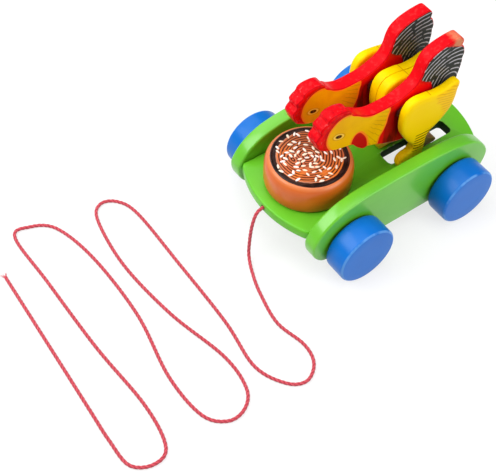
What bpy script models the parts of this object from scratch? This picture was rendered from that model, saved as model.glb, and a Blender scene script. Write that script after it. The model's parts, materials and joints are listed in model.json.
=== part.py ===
"""A wooden pull-along toy: two hens on a green four-wheeled deck peck at a bowl of grain.

Metres, +Z up, +X towards the cord, +Y the toy's left side. The origin lies on the ground,
midway between the wheels.
"""

import math

import bmesh
import bpy
from mathutils import Vector

MM = 0.001

# Clearances, and how far a cutter runs out of what it cuts
SEAT_GAP = 0.0003
BORE_GAP = 0.0003
CUT_PAST = 0.002

# Wheels and axles
WHEEL_DIAMETER = 0.040
WHEEL_THICKNESS = 0.0157
WHEEL_ROUNDING = 0.0028
WHEEL_BASE = 0.080
WHEEL_BORE_DEPTH = 0.0112
AXLE_DIAMETER = 0.0070
AXLE_CHAMFER = 0.0006

# Deck
DECK_LENGTH = 0.1492
DECK_WIDTH = 0.0658
DECK_THICKNESS = 0.0069
DECK_END_RADIUS = 0.068
DECK_CORNER = 0.0015
DECK_ROUNDING = 0.0011
DECK_ABOVE_AXLE = 0.0142

# Side rails
RAIL_THICKNESS = 0.0091
RAIL_LENGTH = 0.1372
RAIL_TOP_ABOVE_AXLE = 0.0333
RAIL_FOOT_BELOW_AXLE = 0.0092
RAIL_ROUNDING = 0.0012
WHEEL_TO_RAIL = 0.0012

# Boards: every one stands upright, and the pairs lie side by side across the deck
LEG_BOARD_THICKNESS = 0.0069
HEN_THICKNESS = 0.0090
BOARD_SPACING = 0.0017
SEAM = 0.00015
BOARD_ROUNDING = 0.0012
HEN_ROUNDING = 0.0011

# Pivot of the hens
PIVOT_X = -0.0105
PIVOT_ABOVE_DECK = 0.0450
PIN_DIAMETER = 0.0040
PIN_HOLE_DEPTH = 0.0045
WASHER_DIAMETER = 0.0090
RIGHT_HEN_TILT = 2.2

# The right hen's head is cut a little further back and lower, from its neck on
RIGHT_HEAD_BACK = 0.0044
RIGHT_HEAD_LOWER = 0.0020
NECK_END = 0.0300
HEAD_START = 0.0440

# Cams on the rear axle
CAM_RADIUS = 0.0070
CAM_OFFSET = 0.0030
CAM_THICKNESS = 0.0070
CAM_TO_LEVER = 0.0005
LEFT_CAM_ANGLE = 200.0
RIGHT_CAM_ANGLE = 20.0

# Slots through the deck, one under each hen
SLOT_FRONT = -0.0080
SLOT_REAR = -0.0586
SLOT_INNER = 0.0080
SLOT_OUTER = 0.0194
SLOT_CORNER = 0.0028

# Bowl
BOWL_X = 0.0415
BOWL_HEIGHT = 0.0207
BOWL_FOOT_RADIUS = 0.0260
BOWL_RADIUS = 0.0270
BOWL_RIM_RADIUS = 0.0236
DISC_RADIUS = 0.0225
DISC_THICKNESS = 0.0012

# Fixings
DOWEL_DIAMETER = 0.0040
DOWEL_DEPTH = 0.0060
RAIL_DOWEL_XS = (-0.050, 0.015)
FOOT_DOWEL_XS = (-0.0235, -0.0150)
FOOT_DOWEL_DEPTH = 0.0045
SCREW_DIAMETER = 0.0035
SCREW_HEAD_DIAMETER = 0.0070
SCREW_HEAD_HEIGHT = 0.0022
SCREW_LENGTH = 0.0180
SCREW_POINT_LENGTH = 0.0034

# Cord
CORD_DIAMETER = 0.0024
CORD_HOLE_DIAMETER = 0.0034
CORD_STEPS = 2
KNOT_RADIUS = 0.0023
KNOT_LENGTH = 0.0068
KNOT_POCKET_RADIUS = 0.0045
KNOT_POCKET_FROM_EDGE = 0.0160

# Places worked out from the sizes above
AXLE_Z = WHEEL_DIAMETER / 2
DECK_TOP = AXLE_Z + DECK_ABOVE_AXLE
DECK_BOTTOM = DECK_TOP - DECK_THICKNESS
DECK_MIDDLE = DECK_TOP - DECK_THICKNESS / 2
RAIL_INNER = DECK_WIDTH / 2
RAIL_OUTER = RAIL_INNER + RAIL_THICKNESS
WHEEL_INNER = RAIL_OUTER + WHEEL_TO_RAIL
WHEEL_OUTER = WHEEL_INNER + WHEEL_THICKNESS
AXLE_HALF_LENGTH = WHEEL_INNER + WHEEL_BORE_DEPTH - SEAT_GAP
FRONT_AXLE_X = WHEEL_BASE / 2
REAR_AXLE_X = -WHEEL_BASE / 2
PIVOT_Z = DECK_TOP + PIVOT_ABOVE_DECK
INNER_BOARD_Y = SEAM + LEG_BOARD_THICKNESS / 2
HEN_Y = SEAM + LEG_BOARD_THICKNESS + BOARD_SPACING + HEN_THICKNESS / 2
OUTER_BOARD_Y = HEN_Y + HEN_THICKNESS / 2 + BOARD_SPACING + LEG_BOARD_THICKNESS / 2
CAM_REACH = CAM_RADIUS + CAM_OFFSET
LEVER_UNDERSIDE = AXLE_Z + CAM_REACH + CAM_TO_LEVER
POCKET_X = DECK_LENGTH / 2 - KNOT_POCKET_FROM_EDGE
POCKET_WALL_X = POCKET_X + KNOT_POCKET_RADIUS

# Colours, roughness
PAINTS = {
    "green paint": ((0.16, 0.52, 0.05), 0.32),
    "blue paint": ((0.02, 0.16, 0.66), 0.30),
    "red paint": ((0.86, 0.03, 0.04), 0.30),
    "yellow paint": ((0.93, 0.66, 0.02), 0.32),
    "bowl brown": ((0.62, 0.20, 0.06), 0.35),
    "grain print": ((0.38, 0.16, 0.07), 0.40),
    "bare wood": ((0.55, 0.36, 0.18), 0.60),
    "screw steel": ((0.55, 0.55, 0.57), 0.35),
    "red cord": ((0.62, 0.07, 0.10), 0.85),
}

# The hen board's outline, millimetres from its pivot. True marks a sharp corner.
HEN_OUTLINE = [
    (60.9, 2.6, False), (54.6, -1.6, True), (47.5, -4.6, False), (39.5, -6.6, False),
    (35.6, -8.2, False), (31.0, -13.4, False), (26.8, -16.8, False), (23.6, -16.6, True),
    (16.6, -19.6, False), (7.5, -24.2, False), (-1.5, -27.6, False), (-8.0, -29.0, False),
    (-12.6, -32.0, False), (-15.4, -37.5, False), (-17.8, -43.6, False),
]
HEN_REAR = [
    (-35.7, -45.8, False), (-33.2, -43.2, False), (-29.0, -40.9, False),
    (-26.6, -37.0, False), (-30.4, -29.4, False), (-36.0, -20.0, False),
    (-40.4, -8.0, False), (-42.6, 5.0, False), (-43.9, 15.0, False), (-43.7, 19.6, True),
    (-44.3, 22.6, False), (-42.9, 27.8, False), (-40.9, 30.2, True), (-41.6, 33.6, False),
    (-39.2, 36.6, False), (-33.4, 36.9, False), (-27.6, 36.3, False), (-21.4, 34.8, False),
    (-16.0, 31.6, False), (-13.2, 26.6, False), (-11.6, 20.4, False), (-8.6, 15.2, False),
    (-3.0, 12.0, False), (5.0, 9.6, False), (14.5, 9.2, False), (22.6, 9.8, False),
    (29.4, 12.6, False), (34.6, 16.2, False), (38.8, 19.0, True), (41.0, 22.6, False),
    (44.2, 24.5, False), (48.8, 25.5, False), (53.4, 25.4, False), (56.2, 23.8, False),
    (56.8, 21.6, True), (59.4, 20.4, False), (61.4, 18.2, False), (60.8, 15.0, True),
    (62.9, 13.2, False), (64.0, 10.6, False), (62.6, 6.4, False),
]

# The wing and leg board's outline, millimetres from the deck top.
LEG_BOARD_OUTLINE = [
    (-10.2, 0.0, True), (-8.4, 4.4, False), (-9.4, 8.6, False),
    (-12.7, 10.8, False), (-15.8, 11.2, False), (-17.6, 13.6, False), (-17.4, 16.9, False),
    (-13.4, 21.8, False), (-9.3, 28.2, False), (-6.4, 34.4, False), (-5.5, 41.5, False),
    (-6.2, 50.0, False), (-9.2, 55.0, False), (-14.0, 56.7, False), (-22.0, 55.8, False),
    (-30.0, 54.2, False), (-37.0, 54.5, False), (-42.8, 56.3, False),
    (-46.2, 55.6, False), (-47.6, 53.0, False), (-46.8, 48.4, False), (-46.4, 42.7, False),
    (-44.6, 36.0, False), (-40.4, 30.2, False), (-34.9, 25.6, False), (-30.0, 22.4, False),
    (-28.2, 18.6, False), (-28.0, 12.0, False), (-27.4, 4.0, False), (-27.2, 0.0, True),
]

# The side rail's outline in shares of half its length and of its height above its widest line.
RAIL_SHOULDERS = [
    (0.0, 1.0), (0.34, 0.985), (0.56, 0.93), (0.74, 0.80), (0.88, 0.55), (0.965, 0.26), (1.0, 0.0),
]
RAIL_WIDEST_ABOVE_AXLE = 0.0088
RAIL_FOOT_CORNER = 0.0100
RAIL_TUCK_AT_AXLE = 0.0018

# The cord's route outside the deck, millimetres: down, and along the ground.
CORD_ROUTE = [
    (79.5, 0.8, 29.6), (84.2, 2.6, 22.0), (87.3, 4.9, 10.6), (90.0, 8.6, 3.4), (94.4, 18.0, 1.4),
    (99.6, 33.0, 1.3), (103.9, 56.0, 1.3), (100.0, 77.0, 1.3), (103.2, 90.2, 1.3), (113.6, 97.0, 1.3),
    (124.2, 91.2, 1.3), (132.2, 72.0, 1.3), (128.4, 38.0, 1.3), (127.2, -14.0, 1.3),
    (126.9, -58.0, 1.3), (132.2, -73.6, 1.3), (142.2, -77.9, 1.3), (150.2, -67.5, 1.3),
    (155.2, -30.0, 1.3), (151.6, 15.0, 1.3), (142.6, 57.0, 1.3), (144.2, 81.0, 1.3),
    (152.8, 91.4, 1.3), (164.8, 92.3, 1.3), (174.6, 80.5, 1.3), (175.8, 50.0, 1.3),
    (167.8, 5.0, 1.3), (167.4, -44.0, 1.3), (174.2, -76.5, 1.3), (187.4, -87.0, 1.3),
    (198.6, -84.8, 1.3), (199.0, -45.0, 1.3), (199.2, 10.0, 1.3), (196.8, 58.0, 1.3),
    (201.2, 85.6, 1.3), (212.2, 91.0, 1.3), (223.4, 83.8, 1.3), (224.4, 65.0, 1.3),
    (217.7, -62.2, 1.3),
]


def clear_scene():
    for obj in list(bpy.data.objects):
        bpy.data.objects.remove(obj, do_unlink=True)


def new_collection(name):
    collection = bpy.data.collections.new(name)
    bpy.context.scene.collection.children.link(collection)
    return collection


def make_materials():
    made = {}
    for name, (colour, roughness) in PAINTS.items():
        material = bpy.data.materials.new(name)
        material.use_nodes = True
        shader = material.node_tree.nodes["Principled BSDF"]
        shader.inputs["Base Color"].default_value = (*colour, 1.0)
        shader.inputs["Roughness"].default_value = roughness
        shader.inputs["Metallic"].default_value = 1.0 if name == "screw steel" else 0.0
        made[name] = material
    return made


def move_to(obj, collection):
    for holder in list(obj.users_collection):
        holder.objects.unlink(obj)
    collection.objects.link(obj)


def finish_part(obj, name, material, smooth_angle=40.0):
    """Names a piece, gives it its material and shades its round faces smooth."""
    obj.name = name
    obj.data.name = name
    obj.data.materials.clear()
    obj.data.materials.append(MATERIALS[material])
    move_to(obj, PARTS)
    if obj.type == "MESH":
        obj.data.shade_smooth()
        obj.data.set_sharp_from_angle(angle=math.radians(smooth_angle))


def make_cutter(obj, name):
    obj.name = name
    move_to(obj, CUTTERS)
    obj.hide_render = True
    obj.display_type = "WIRE"
    return obj


def cut(target, cutter):
    modifier = target.modifiers.new("cut " + cutter.name, "BOOLEAN")
    modifier.operation = "DIFFERENCE"
    modifier.solver = "EXACT"
    modifier.object = cutter


def cylinder(radius, start, end, sides=20):
    """A round bar between two points that lie on a line along X, Y or Z."""
    start, end = Vector(start), Vector(end)
    direction = end - start
    bpy.ops.mesh.primitive_cylinder_add(
        vertices=sides, radius=radius, depth=direction.length, location=(start + end) / 2
    )
    obj = bpy.context.object
    obj.rotation_mode = "QUATERNION"
    obj.rotation_quaternion = direction.to_track_quat("Z", "Y")
    return obj


def chamfer(obj, width):
    modifier = obj.modifiers.new("edge", "BEVEL")
    modifier.width = width
    modifier.segments = 1
    modifier.limit_method = "ANGLE"
    modifier.angle_limit = math.radians(40)


def outline_curve(name, points, thickness, rounding, resolution):
    """A flat outline in its own XY plane, of a thickness along Z, with rounded edges.

    A point is (x, y, sharp), in metres.
    """
    curve = bpy.data.curves.new(name, "CURVE")
    curve.dimensions = "2D"
    curve.fill_mode = "BOTH"
    curve.extrude = thickness / 2 - rounding
    curve.bevel_depth = rounding
    curve.bevel_resolution = 0
    curve.offset = -rounding
    curve.resolution_u = resolution
    spline = curve.splines.new("BEZIER")
    spline.bezier_points.add(len(points) - 1)
    spline.use_cyclic_u = True
    for knot, (x, y, sharp) in zip(spline.bezier_points, points):
        knot.co = (x, y, 0)
        knot.handle_left_type = "VECTOR" if sharp else "AUTO"
        knot.handle_right_type = "VECTOR" if sharp else "AUTO"
    obj = bpy.data.objects.new(name, curve)
    bpy.context.scene.collection.objects.link(obj)
    return obj


def curve_to_mesh(obj):
    """The curve's solid as a mesh object in the same place, with its caps joined on."""
    graph = bpy.context.evaluated_depsgraph_get()
    mesh = bpy.data.meshes.new_from_object(obj.evaluated_get(graph))
    work = bmesh.new()
    work.from_mesh(mesh)
    bmesh.ops.remove_doubles(work, verts=work.verts, dist=0.01 * MM)
    bmesh.ops.recalc_face_normals(work, faces=work.faces)
    work.to_mesh(mesh)
    work.free()
    solid = bpy.data.objects.new(obj.name, mesh)
    solid.matrix_world = obj.matrix_world.copy()
    bpy.context.scene.collection.objects.link(solid)
    bpy.data.objects.remove(obj, do_unlink=True)
    return solid


def upright_board(name, points, thickness, rounding, centre, resolution=3):
    """A board that stands in the XZ plane. Its points are (x, z, sharp) from its centre point."""
    obj = outline_curve(name, points, thickness, rounding, resolution)
    obj.rotation_euler = (math.pi / 2, 0, 0)
    obj.location = centre
    bpy.context.view_layer.update()
    return curve_to_mesh(obj)


def flat_plate(name, points, bottom, top, rounding=0.0, resolution=1):
    """A plate that lies in the XY plane between two heights."""
    obj = outline_curve(name, points, top - bottom, rounding, resolution)
    obj.location = (0, 0, (bottom + top) / 2)
    bpy.context.view_layer.update()
    return curve_to_mesh(obj)


def arc(centre, radius, start, end, count):
    """Points on an arc, angles in degrees, both ends included."""
    made = []
    for i in range(count):
        angle = math.radians(start + (end - start) * i / (count - 1))
        made.append((centre[0] + radius * math.cos(angle), centre[1] + radius * math.sin(angle)))
    return made


def rounded_rectangle(low, high, radius, count=4):
    """Corner arcs of a rectangle, counter-clockwise, as sharp outline points."""
    made = []
    made += arc((high[0] - radius, high[1] - radius), radius, 0, 90, count)
    made += arc((low[0] + radius, high[1] - radius), radius, 90, 180, count)
    made += arc((low[0] + radius, low[1] + radius), radius, 180, 270, count)
    made += arc((high[0] - radius, low[1] + radius), radius, 270, 360, count)
    return [(x, y, True) for x, y in made]


def turned(name, profile, steps):
    """A solid turned about its own Z axis. The profile is (radius, height), top to bottom."""
    mesh = bpy.data.meshes.new(name)
    work = bmesh.new()
    made = [work.verts.new((radius, 0, height)) for radius, height in profile]
    for first, second in zip(made, made[1:]):
        work.edges.new((first, second))
    work.to_mesh(mesh)
    work.free()
    obj = bpy.data.objects.new(name, mesh)
    bpy.context.scene.collection.objects.link(obj)
    screw = obj.modifiers.new("turn", "SCREW")
    screw.axis = "Z"
    screw.angle = 2 * math.pi
    screw.steps = steps
    screw.render_steps = steps
    screw.use_merge_vertices = True
    screw.merge_threshold = 0.00005
    screw.use_smooth_shade = True
    return obj


def smooth_line(points, steps):
    """A smooth curve through the given points, each stretch between two of them in equal steps."""
    route = [Vector(point) for point in points]
    route = [2 * route[0] - route[1]] + route + [2 * route[-1] - route[-2]]
    line = []
    for before, start, end, after in zip(route, route[1:], route[2:], route[3:]):
        for i in range(steps):
            t = i / steps
            bend = 2 * before - 5 * start + 4 * end - after
            twist = 3 * start - before - 3 * end + after
            line.append(0.5 * (2 * start + (end - before) * t + bend * t ** 2 + twist * t ** 3))
    line.append(route[-2])
    return line


def tube(name, line, diameter, resolution):
    curve = bpy.data.curves.new(name, "CURVE")
    curve.dimensions = "3D"
    curve.bevel_depth = diameter / 2
    curve.bevel_resolution = resolution
    curve.use_fill_caps = True
    spline = curve.splines.new("POLY")
    spline.points.add(len(line) - 1)
    for knot, place in zip(spline.points, line):
        knot.co = (*place, 1.0)
    obj = bpy.data.objects.new(name, curve)
    bpy.context.scene.collection.objects.link(obj)
    return obj


def make_deck():
    """The deck, with its arc-shaped ends, the hens' slots and the holes for its fixings."""
    half_width = DECK_WIDTH / 2 - SEAT_GAP
    centre_x = DECK_LENGTH / 2 - DECK_END_RADIUS
    sweep = math.degrees(math.asin((half_width - DECK_CORNER) / DECK_END_RADIUS))
    front = arc((centre_x, 0), DECK_END_RADIUS, -sweep, sweep, 15)
    corner_x = front[-1][0] - DECK_CORNER
    front = [(corner_x, -half_width)] + front + [(corner_x, half_width)]
    rear = [(-x, -y) for x, y in front]
    points = [(x, y, True) for x, y in front + rear]
    deck = flat_plate("deck", points, DECK_BOTTOM, DECK_TOP, DECK_ROUNDING)
    for side, word in ((1, "left"), (-1, "right")):
        low_y, high_y = sorted((side * SLOT_INNER, side * SLOT_OUTER))
        corners = rounded_rectangle((SLOT_REAR, low_y), (SLOT_FRONT, high_y), SLOT_CORNER)
        slot = flat_plate("slot " + word, corners, DECK_BOTTOM - CUT_PAST, DECK_TOP + CUT_PAST)
        cut(deck, make_cutter(slot, "slot " + word))
        for i, x in enumerate(RAIL_DOWEL_XS):
            hole = cylinder(
                DOWEL_DIAMETER / 2 + BORE_GAP,
                (x, side * (half_width + CUT_PAST), DECK_MIDDLE),
                (x, side * (half_width - DOWEL_DEPTH - SEAT_GAP), DECK_MIDDLE),
                12,
            )
            cut(deck, make_cutter(hole, f"rail dowel hole {word} {i}"))
        for y in (INNER_BOARD_Y, OUTER_BOARD_Y):
            for x in FOOT_DOWEL_XS:
                hole = cylinder(
                    DOWEL_DIAMETER / 2 + BORE_GAP,
                    (x, side * y, DECK_TOP + CUT_PAST),
                    (x, side * y, DECK_TOP - FOOT_DOWEL_DEPTH - SEAT_GAP),
                    12,
                )
                cut(deck, make_cutter(hole, f"foot dowel hole {word} {y:.4f} {x:.4f}"))
    cord_hole = cylinder(
        CORD_HOLE_DIAMETER / 2,
        (POCKET_X, 0, DECK_MIDDLE),
        (DECK_LENGTH / 2 + CUT_PAST, 0, DECK_MIDDLE),
        16,
    )
    cut(deck, make_cutter(cord_hole, "cord hole"))
    pocket = cylinder(
        KNOT_POCKET_RADIUS,
        (POCKET_X, 0, DECK_BOTTOM - CUT_PAST),
        (POCKET_X, 0, DECK_MIDDLE + KNOT_RADIUS + SEAT_GAP),
        24,
    )
    cut(deck, make_cutter(pocket, "knot pocket"))
    cut(deck, make_screw_cutter())
    finish_part(deck, "deck", "green paint")


def screw_profile(extra):
    """A countersunk screw's profile, grown by a clearance, its head at the bottom."""
    shank = SCREW_DIAMETER / 2 + extra
    head = SCREW_HEAD_DIAMETER / 2 + extra
    return [
        (0, SCREW_LENGTH + extra),
        (shank, SCREW_LENGTH - SCREW_POINT_LENGTH + extra),
        (shank, SCREW_HEAD_HEIGHT + extra),
        (head, -extra),
        (0, -extra),
    ]


def make_screw_cutter():
    profile = screw_profile(BORE_GAP)
    cutter = turned("bowl screw hole", profile, 16)
    cutter.location = (BOWL_X, 0, DECK_BOTTOM)
    return make_cutter(cutter, "bowl screw hole")


def make_rail(side, word):
    """One side rail: a tall board with round shoulders, bored for the axles."""
    half = RAIL_LENGTH / 2
    widest = RAIL_WIDEST_ABOVE_AXLE
    rise = RAIL_TOP_ABOVE_AXLE - widest
    right = [(half * a, widest + rise * b, False) for a, b in RAIL_SHOULDERS]
    foot = -RAIL_FOOT_BELOW_AXLE
    low = [
        (half - RAIL_TUCK_AT_AXLE, 0.0, False),
        (half - RAIL_FOOT_CORNER * 0.75, foot + RAIL_FOOT_CORNER * 0.22, False),
        (half - RAIL_FOOT_CORNER * 1.5, foot, True),
    ]
    loop = right + low
    loop += [(-x, z, sharp) for x, z, sharp in reversed(low)]
    loop += [(-x, z, sharp) for x, z, sharp in reversed(right[1:])]
    middle = side * (RAIL_INNER + RAIL_THICKNESS / 2)
    rail = upright_board(
        "rail " + word, loop, RAIL_THICKNESS, RAIL_ROUNDING, (0, middle, AXLE_Z)
    )
    for x in (FRONT_AXLE_X, REAR_AXLE_X):
        hole = cylinder(
            AXLE_DIAMETER / 2 + BORE_GAP,
            (x, side * (RAIL_INNER - CUT_PAST), AXLE_Z),
            (x, side * (RAIL_OUTER + CUT_PAST), AXLE_Z),
        )
        cut(rail, make_cutter(hole, f"axle hole {word} {x:.3f}"))
    for i, x in enumerate(RAIL_DOWEL_XS):
        hole = cylinder(
            DOWEL_DIAMETER / 2 + BORE_GAP,
            (x, side * (RAIL_INNER - CUT_PAST), DECK_MIDDLE),
            (x, side * (RAIL_INNER + DOWEL_DEPTH + SEAT_GAP), DECK_MIDDLE),
            12,
        )
        cut(rail, make_cutter(hole, f"rail blind hole {word} {i}"))
    finish_part(rail, "rail_" + word, "green paint")


def make_rail_dowels(side, word):
    for x, place in zip(RAIL_DOWEL_XS, ("rear", "front")):
        dowel = cylinder(
            DOWEL_DIAMETER / 2,
            (x, side * (RAIL_INNER - DOWEL_DEPTH), DECK_MIDDLE),
            (x, side * (RAIL_INNER + DOWEL_DEPTH), DECK_MIDDLE),
            12,
        )
        finish_part(dowel, f"rail_dowel_{word}_{place}", "bare wood")


def make_wheel(name, x, side):
    """A solid wooden wheel with rounded rims and a blind bore on its inner face."""
    radius = WHEEL_DIAMETER / 2
    bore = AXLE_DIAMETER / 2 + BORE_GAP
    rim = WHEEL_ROUNDING
    outer = arc((radius - rim, WHEEL_THICKNESS - rim), rim, 90, 0, 4)
    inner = arc((radius - rim, rim), rim, 0, -90, 4)
    profile = [(0, WHEEL_THICKNESS)] + outer + inner
    profile += [(bore, 0), (bore, WHEEL_BORE_DEPTH), (0, WHEEL_BORE_DEPTH)]
    wheel = turned(name, profile, 32)
    wheel.rotation_euler = (-side * math.pi / 2, 0, 0)
    wheel.location = (x, side * WHEEL_INNER, AXLE_Z)
    finish_part(wheel, name, "blue paint")


def make_axle(name, x):
    axle = cylinder(AXLE_DIAMETER / 2, (x, -AXLE_HALF_LENGTH, AXLE_Z), (x, AXLE_HALF_LENGTH, AXLE_Z))
    chamfer(axle, AXLE_CHAMFER)
    finish_part(axle, name, "bare wood")


def make_cam(side, word, angle):
    """A round disc bored off its centre, under one hen's lever."""
    turn = math.radians(angle)
    x = REAR_AXLE_X + CAM_OFFSET * math.cos(turn)
    z = AXLE_Z + CAM_OFFSET * math.sin(turn)
    half = CAM_THICKNESS / 2
    cam = cylinder(
        CAM_RADIUS,
        (x, side * HEN_Y - half, z),
        (x, side * HEN_Y + half, z),
        24,
    )
    chamfer(cam, AXLE_CHAMFER)
    bore = cylinder(
        AXLE_DIAMETER / 2 + BORE_GAP / 3,
        (REAR_AXLE_X, side * HEN_Y - half - CUT_PAST, AXLE_Z),
        (REAR_AXLE_X, side * HEN_Y + half + CUT_PAST, AXLE_Z),
    )
    cut(cam, make_cutter(bore, "cam bore " + word))
    finish_part(cam, "cam_" + word, "bare wood")


def hen_points(back, lower):
    """The hen board's outline, its head moved back and down by these lengths.

    The lever's underside is set by the cam below it.
    """
    under = (LEVER_UNDERSIDE - PIVOT_Z) / MM
    lever = [
        (-20.6, under + 1.6, False),
        (-24.0, under, True),
        (-34.6, under, True),
        (-36.6, under + 1.4, False),
    ]
    points = []
    for x, z, sharp in HEN_OUTLINE + lever + HEN_REAR:
        along = (x * MM - NECK_END) / (HEAD_START - NECK_END)
        share = min(max(along, 0.0), 1.0)
        points.append((x * MM - back * share, z * MM - lower * share, sharp))
    return points


def make_hen(side, word, tilt, head_back, head_lower):
    """One hen: body, neck, comb, wattle, tail and lever cut from a single board."""
    points = hen_points(head_back, head_lower)
    middle = (PIVOT_X, side * HEN_Y, PIVOT_Z)
    hen = upright_board("hen " + word, points, HEN_THICKNESS, HEN_ROUNDING, middle)
    hen.rotation_euler = (math.pi / 2, math.radians(tilt), 0)
    hole = cylinder(
        PIN_DIAMETER / 2 + BORE_GAP,
        (PIVOT_X, side * HEN_Y - HEN_THICKNESS, PIVOT_Z),
        (PIVOT_X, side * HEN_Y + HEN_THICKNESS, PIVOT_Z),
    )
    cut(hen, make_cutter(hole, "hen pivot hole " + word))
    finish_part(hen, "hen_" + word, "red paint", 50.0)


def make_leg_board(name, middle, inward):
    """A wing, body and leg cut from one yellow board.

    inward is the side of its blind pin hole, or 0 for a hole right through.
    """
    points = [(x * MM, z * MM, sharp) for x, z, sharp in LEG_BOARD_OUTLINE]
    board = upright_board(
        name, points, LEG_BOARD_THICKNESS, BOARD_ROUNDING, (0, middle, DECK_TOP + SEAT_GAP), 2
    )
    start = middle - LEG_BOARD_THICKNESS
    end = middle + LEG_BOARD_THICKNESS
    if inward:
        end = middle + inward * LEG_BOARD_THICKNESS
        start = middle + inward * (LEG_BOARD_THICKNESS / 2 - PIN_HOLE_DEPTH)
    hole = cylinder(PIN_DIAMETER / 2 + BORE_GAP, (PIVOT_X, start, PIVOT_Z), (PIVOT_X, end, PIVOT_Z))
    cut(board, make_cutter(hole, name + " pin hole"))
    for x in FOOT_DOWEL_XS:
        hole = cylinder(
            DOWEL_DIAMETER / 2 + BORE_GAP,
            (x, middle, DECK_TOP - CUT_PAST),
            (x, middle, DECK_TOP + FOOT_DOWEL_DEPTH + 2 * SEAT_GAP),
            12,
        )
        cut(board, make_cutter(hole, f"{name} dowel hole {x:.4f}"))
    finish_part(board, name, "yellow paint")


def make_foot_dowels(board, middle):
    """The two dowels that hold one leg board to the deck."""
    for x, place in zip(FOOT_DOWEL_XS, ("rear", "front")):
        dowel = cylinder(
            DOWEL_DIAMETER / 2,
            (x, middle, DECK_TOP - FOOT_DOWEL_DEPTH),
            (x, middle, DECK_TOP + FOOT_DOWEL_DEPTH),
            12,
        )
        finish_part(dowel, f"foot_dowel_{board}_{place}", "bare wood")


def make_pivot():
    """The pin through both hens, and the washers that keep them off the yellow boards."""
    reach = OUTER_BOARD_Y - LEG_BOARD_THICKNESS / 2 + PIN_HOLE_DEPTH - SEAT_GAP
    pin = cylinder(PIN_DIAMETER / 2, (PIVOT_X, -reach, PIVOT_Z), (PIVOT_X, reach, PIVOT_Z))
    finish_part(pin, "pivot_pin", "bare wood")
    thickness = BOARD_SPACING - 2 * SEAT_GAP
    for side, word in ((1, "left"), (-1, "right")):
        for place, outward in (("outer", 1), ("inner", -1)):
            middle = side * (HEN_Y + outward * (HEN_THICKNESS + BOARD_SPACING) / 2)
            profile = [
                (WASHER_DIAMETER / 2, thickness / 2),
                (WASHER_DIAMETER / 2, -thickness / 2),
                (PIN_DIAMETER / 2 + BORE_GAP, -thickness / 2),
                (PIN_DIAMETER / 2 + BORE_GAP, thickness / 2),
                (WASHER_DIAMETER / 2, thickness / 2),
            ]
            washer = turned("washer", profile, 12)
            washer.rotation_euler = (math.pi / 2, 0, 0)
            washer.location = (PIVOT_X, middle, PIVOT_Z)
            finish_part(washer, f"pivot_washer_{place}_{word}", "bare wood")


def make_bowl():
    """The turned grain bowl, its top recessed for the printed disc."""
    foot = DECK_TOP + SEAT_GAP
    height = BOWL_HEIGHT - SEAT_GAP
    recess = DISC_RADIUS + SEAT_GAP
    floor = height - DISC_THICKNESS - SEAT_GAP
    shoulder = BOWL_RADIUS - BOWL_RIM_RADIUS
    profile = [(0, floor), (recess, floor), (recess, height - 0.0001), (BOWL_RIM_RADIUS, height)]
    drop = height * 0.34
    for i in range(1, 5):
        angle = math.radians(90 - 22.5 * i)
        profile.append(
            (BOWL_RIM_RADIUS + shoulder * math.cos(angle), height - drop + drop * math.sin(angle))
        )
    profile += [
        (BOWL_RADIUS, height * 0.42),
        (BOWL_RADIUS - 0.0003, height * 0.2),
        (BOWL_FOOT_RADIUS, 0.0006),
        (BOWL_FOOT_RADIUS - 0.0006, 0),
        (0, 0),
    ]
    bowl = turned("bowl", profile, 36)
    bowl.location = (BOWL_X, 0, foot)
    cut(bowl, bpy.data.objects["bowl screw hole"])
    finish_part(bowl, "bowl", "bowl brown")
    top = DISC_THICKNESS
    disc_profile = [
        (0, top), (DISC_RADIUS - 0.0003, top), (DISC_RADIUS, top - 0.0003), (DISC_RADIUS, 0), (0, 0),
    ]
    disc = turned("grain_disc", disc_profile, 36)
    disc.location = (BOWL_X, 0, foot + floor + SEAT_GAP)
    finish_part(disc, "grain_disc", "grain print")
    screw = turned("bowl_screw", screw_profile(0.0), 16)
    screw.location = (BOWL_X, 0, DECK_BOTTOM)
    finish_part(screw, "bowl_screw", "screw steel")


def make_cord():
    """The red cord, and the knot that holds it behind the hole in the deck's front edge."""
    inside = [
        (POCKET_WALL_X + SEAT_GAP, 0, DECK_MIDDLE),
        (DECK_LENGTH / 2 - CORD_DIAMETER, 0, DECK_MIDDLE),
    ]
    outside = [(x * MM, y * MM, z * MM) for x, y, z in CORD_ROUTE]
    line = smooth_line(inside + outside, CORD_STEPS)
    cord = tube("cord", line, CORD_DIAMETER, 2)
    finish_part(cord, "cord", "red cord")
    half = KNOT_LENGTH / 2
    neck = CORD_DIAMETER / 2
    profile = [
        (0, half), (neck, half), (KNOT_RADIUS, half * 0.5), (KNOT_RADIUS * 0.85, 0),
        (KNOT_RADIUS, -half * 0.5), (neck, -half), (0, -half),
    ]
    knot = turned("cord_knot", profile, 12)
    knot.rotation_euler = (0, math.pi / 2, 0)
    knot.location = (POCKET_WALL_X - half, 0, DECK_MIDDLE)
    finish_part(knot, "cord_knot", "red cord")


clear_scene()
PARTS = new_collection("pull-along hens")
CUTTERS = new_collection("cutters")
MATERIALS = make_materials()

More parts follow.
